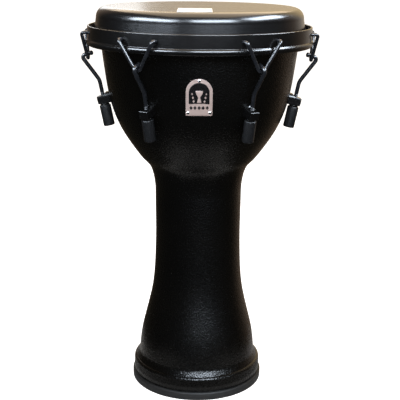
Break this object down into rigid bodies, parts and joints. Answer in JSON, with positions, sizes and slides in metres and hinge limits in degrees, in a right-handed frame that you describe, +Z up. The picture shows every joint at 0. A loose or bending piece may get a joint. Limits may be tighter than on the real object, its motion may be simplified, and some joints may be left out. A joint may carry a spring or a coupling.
{
  "type": "djembe",
  "caption": "Goblet-shaped hand drum with a moulded shell and a skin that a tension hoop, V-hooks, cranked rods and long nuts tighten.",
  "frame": {"origin": "bottom centre of the rubber foot ring, on the floor", "axes": "+Z up through the skin, -Y towards the drum's front with the badge, +X towards station 1"},
  "size_m": [0.3474, 0.3304, 0.5764],
  "materials": {
    "shell_plastic": "black moulded shell with a fine pebbled texture, satin",
    "foot_rubber": "grey-black rubber, matt",
    "head_film": "black film, satin, smooth",
    "hardware_black": "black powder coat, satin",
    "nut_black": "dark grey phosphate, matt, slightly rough",
    "hoop_alloy": "plain rolled alloy, dull",
    "badge_metal": "brushed plate with a black printed motif",
    "rivet_steel": "bright domed rivet",
    "bolt_steel": "zinc plated",
    "label_paper": "blank white sticker"
  },
  "bodies": {
    "drum": {"shell": "shell_plastic", "foot_ring": "foot_rubber", "drum_head": "head_film", "head_label": "label_paper", "badge": "badge_metal", "badge_rivet_1": "rivet_steel", "badge_rivet_2": "rivet_steel", "badge_rivet_3": "rivet_steel", "lug_bracket_1": "hardware_black", "lug_bolt_1": "bolt_steel", "bolt_washer_1": "bolt_steel", "nut_washer_1": "hardware_black", "lug_bracket_2": "hardware_black", "lug_bolt_2": "bolt_steel", "bolt_washer_2": "bolt_steel", "nut_washer_2": "hardware_black", "lug_bracket_3": "hardware_black", "lug_bolt_3": "bolt_steel", "bolt_washer_3": "bolt_steel", "nut_washer_3": "hardware_black", "lug_bracket_4": "hardware_black", "lug_bolt_4": "bolt_steel", "bolt_washer_4": "bolt_steel", "nut_washer_4": "hardware_black", "lug_bracket_5": "hardware_black", "lug_bolt_5": "bolt_steel", "bolt_washer_5": "bolt_steel", "nut_washer_5": "hardware_black", "lug_bracket_6": "hardware_black", "lug_bolt_6": "bolt_steel", "bolt_washer_6": "bolt_steel", "nut_washer_6": "hardware_black"},
    "hoop": {"tension_hoop": "hardware_black", "flesh_hoop": "hoop_alloy", "v_hook_1": "hardware_black", "v_hook_2": "hardware_black", "v_hook_3": "hardware_black", "v_hook_4": "hardware_black", "v_hook_5": "hardware_black", "v_hook_6": "hardware_black"},
    "rod_1": {"tension_rod_1": "hardware_black"},
    "rod_2": {"tension_rod_2": "hardware_black"},
    "rod_3": {"tension_rod_3": "hardware_black"},
    "rod_4": {"tension_rod_4": "hardware_black"},
    "rod_5": {"tension_rod_5": "hardware_black"},
    "rod_6": {"tension_rod_6": "hardware_black"},
    "nut_1": {"tuning_nut_1": "nut_black"},
    "nut_2": {"tuning_nut_2": "nut_black"},
    "nut_3": {"tuning_nut_3": "nut_black"},
    "nut_4": {"tuning_nut_4": "nut_black"},
    "nut_5": {"tuning_nut_5": "nut_black"},
    "nut_6": {"tuning_nut_6": "nut_black"}
  },
  "joints": [
    {"name": "nut_1_turn", "type": "hinge", "parent": "drum", "child": "nut_1", "pos_m": [0.14, 0, 0.4313], "axis": [0.1994, 0, 0.9799], "range_deg": [-1350, 1350]},
    {"name": "nut_2_turn", "type": "hinge", "parent": "drum", "child": "nut_2", "pos_m": [0.07, 0.12124, 0.4313], "axis": [0.0997, 0.1727, 0.9799], "range_deg": [-1350, 1350]},
    {"name": "nut_3_turn", "type": "hinge", "parent": "drum", "child": "nut_3", "pos_m": [-0.07, 0.12124, 0.4313], "axis": [-0.0997, 0.1727, 0.9799], "range_deg": [-1350, 1350]},
    {"name": "nut_4_turn", "type": "hinge", "parent": "drum", "child": "nut_4", "pos_m": [-0.14, 0, 0.4313], "axis": [-0.1994, 0, 0.9799], "range_deg": [-1350, 1350]},
    {"name": "nut_5_turn", "type": "hinge", "parent": "drum", "child": "nut_5", "pos_m": [-0.07, -0.12124, 0.4313], "axis": [-0.0997, -0.1727, 0.9799], "range_deg": [-1350, 1350]},
    {"name": "nut_6_turn", "type": "hinge", "parent": "drum", "child": "nut_6", "pos_m": [0.07, -0.12124, 0.4313], "axis": [0.0997, -0.1727, 0.9799], "range_deg": [-1350, 1350]},
    {"name": "rod_1_draw", "type": "slide", "parent": "drum", "child": "rod_1", "axis": [-0.1994, 0, -0.9799], "range_m": [-0.00375, 0.00375]},
    {"name": "rod_2_draw", "type": "slide", "parent": "drum", "child": "rod_2", "axis": [-0.0997, -0.1727, -0.9799], "range_m": [-0.00375, 0.00375]},
    {"name": "rod_3_draw", "type": "slide", "parent": "drum", "child": "rod_3", "axis": [0.0997, -0.1727, -0.9799], "range_m": [-0.00375, 0.00375]},
    {"name": "rod_4_draw", "type": "slide", "parent": "drum", "child": "rod_4", "axis": [0.1994, 0, -0.9799], "range_m": [-0.00375, 0.00375]},
    {"name": "rod_5_draw", "type": "slide", "parent": "drum", "child": "rod_5", "axis": [0.0997, 0.1727, -0.9799], "range_m": [-0.00375, 0.00375]},
    {"name": "rod_6_draw", "type": "slide", "parent": "drum", "child": "rod_6", "axis": [-0.0997, 0.1727, -0.9799], "range_m": [-0.00375, 0.00375]},
    {"name": "hoop_draw", "type": "slide", "parent": "drum", "child": "hoop", "axis": [0, 0, -1], "range_m": [-0.00367, 0.00367]}
  ],
  "couplings": [
    {"joint": "nut_1_turn", "follows": "hoop_draw", "rad_per_m": 6411.9},
    {"joint": "nut_2_turn", "follows": "hoop_draw", "rad_per_m": 6411.9},
    {"joint": "nut_3_turn", "follows": "hoop_draw", "rad_per_m": 6411.9},
    {"joint": "nut_4_turn", "follows": "hoop_draw", "rad_per_m": 6411.9},
    {"joint": "nut_5_turn", "follows": "hoop_draw", "rad_per_m": 6411.9},
    {"joint": "nut_6_turn", "follows": "hoop_draw", "rad_per_m": 6411.9},
    {"joint": "rod_1_draw", "follows": "hoop_draw", "ratio": 1.0205},
    {"joint": "rod_2_draw", "follows": "hoop_draw", "ratio": 1.0205},
    {"joint": "rod_3_draw", "follows": "hoop_draw", "ratio": 1.0205},
    {"joint": "rod_4_draw", "follows": "hoop_draw", "ratio": 1.0205},
    {"joint": "rod_5_draw", "follows": "hoop_draw", "ratio": 1.0205},
    {"joint": "rod_6_draw", "follows": "hoop_draw", "ratio": 1.0205}
  ]
}
